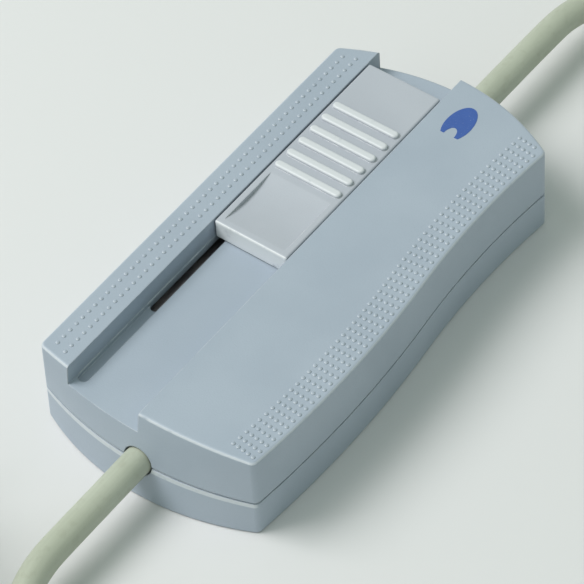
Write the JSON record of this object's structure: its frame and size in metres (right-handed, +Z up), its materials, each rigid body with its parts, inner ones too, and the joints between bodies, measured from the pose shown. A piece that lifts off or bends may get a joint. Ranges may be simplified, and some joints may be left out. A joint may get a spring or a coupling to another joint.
{
  "type": "in-line lamp cord dimmer",
  "caption": "In-line slide dimmer for a lamp cord: a wide low casing with a waved side, a ribbed slider in a long channel, and a round cord at each end, the mains lead ending in a flat plug.",
  "frame": {"origin": "under the middle of the casing, on the surface that it stands on", "axes": "+X along the casing from the mains end to the lamp end, +Y towards the straight side, +Z up through the slider"},
  "size_m": [0.3313, 0.0867, 0.0347],
  "materials": {
    "casing": "satin moulded plastic",
    "slider": "satin moulded plastic",
    "cord": "soft extruded sheath",
    "plug": "satin moulded plastic",
    "pin_sleeve": "satin",
    "pin_metal": "nickel plated",
    "tie": "paper covered strap",
    "clamp": "satin moulded plastic",
    "terminal_block": "satin moulded plastic",
    "core_insulation": "glossy insulation",
    "screw_steel": "zinc plated",
    "track_steel": "tinned sheet",
    "track_plate": "pressed laminate",
    "track_carbon": "printed carbon",
    "carriage": "satin",
    "contact_brass": "stamped",
    "board": "pressed laminate",
    "heatsink": "bent sheet",
    "triac_case": "moulded epoxy",
    "ferrite": "fired ferrite",
    "winding": "enamelled copper wire",
    "capacitor_yellow": "boxed film capacitor",
    "capacitor_green": "boxed film capacitor",
    "diac_glass": "painted glass",
    "resistor_body": "lacquered ceramic",
    "fuse_glass": "clear tube",
    "fuse_wire": "drawn wire",
    "fuse_caps": "nickel plated"
  },
  "bodies": {
    "casing": {"base_shell": "casing", "cover_shell": "casing", "casing_screws": "screw_steel", "circuit_board": "board", "board_screws": "screw_steel", "potentiometer_frame": "track_steel", "potentiometer_plate": "track_plate", "potentiometer_tracks": "track_carbon", "triac_heatsink": "heatsink", "triac": "triac_case", "triac_screw": "screw_steel", "choke_core": "ferrite", "choke_winding": "winding", "filter_capacitor": "capacitor_yellow", "timing_capacitor": "capacitor_green", "diac": "diac_glass", "resistors": "resistor_body", "fuse_glass": "fuse_glass", "fuse_wire": "fuse_wire", "fuse_caps": "fuse_caps", "fuse_clips": "contact_brass", "mains_terminal": "terminal_block", "lamp_terminal": "terminal_block", "terminal_tubes": "contact_brass", "terminal_screws": "screw_steel", "mains_cord_clamp": "clamp", "lamp_cord_clamp": "clamp", "clamp_screws": "screw_steel", "mains_cores": "core_insulation", "lamp_cores": "core_insulation", "mains_cord": "cord", "mains_cord_coil": "cord", "coil_tie": "tie", "plug_body": "plug", "plug_pins": "pin_metal", "plug_pin_sleeves": "pin_sleeve", "lamp_cord": "cord", "lamp_free_cores": "core_insulation", "lamp_core_ferrules": "pin_metal"},
    "slider": {"slider_knob": "slider", "wiper_lever": "track_steel", "wiper_carriage": "carriage", "wiper_contacts": "contact_brass"}
  },
  "joints": [
    {"name": "slider_slide", "type": "slide", "parent": "casing", "child": "slider", "axis": [-1, 0, 0], "range_m": [0, 0.045]}
  ]
}
